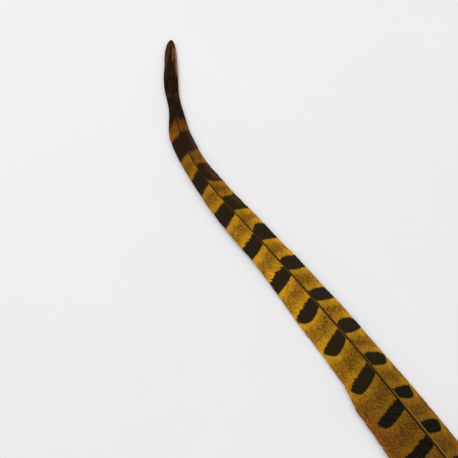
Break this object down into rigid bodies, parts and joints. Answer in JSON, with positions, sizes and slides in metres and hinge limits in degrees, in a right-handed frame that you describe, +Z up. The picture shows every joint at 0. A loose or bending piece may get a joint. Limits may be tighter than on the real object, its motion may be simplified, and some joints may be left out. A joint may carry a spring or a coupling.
{
  "type": "pheasant tail feather",
  "caption": "Long barred tail feather of a cock pheasant lying upper side up: golden brown vanes with dark bars, a wide and a narrow side, a sideways bent tip and a bare quill.",
  "frame": {"origin": "middle of the feather's footprint, on the surface that it lies on", "axes": "+X from the quill towards the tip, +Y towards the wide vane, +Z up out of the feather's upper side"},
  "size_m": [0.3972, 0.0408, 0.0069],
  "materials": {
    "barbs": "satin keratin barbs, golden brown with black-brown bars",
    "shaft": "smooth horn, dark brown along the rachis and pale ivory at the quill",
    "down": "soft grey-brown down"
  },
  "bodies": {
    "root": {"feather": "barbs"}
  },
  "joints": []
}
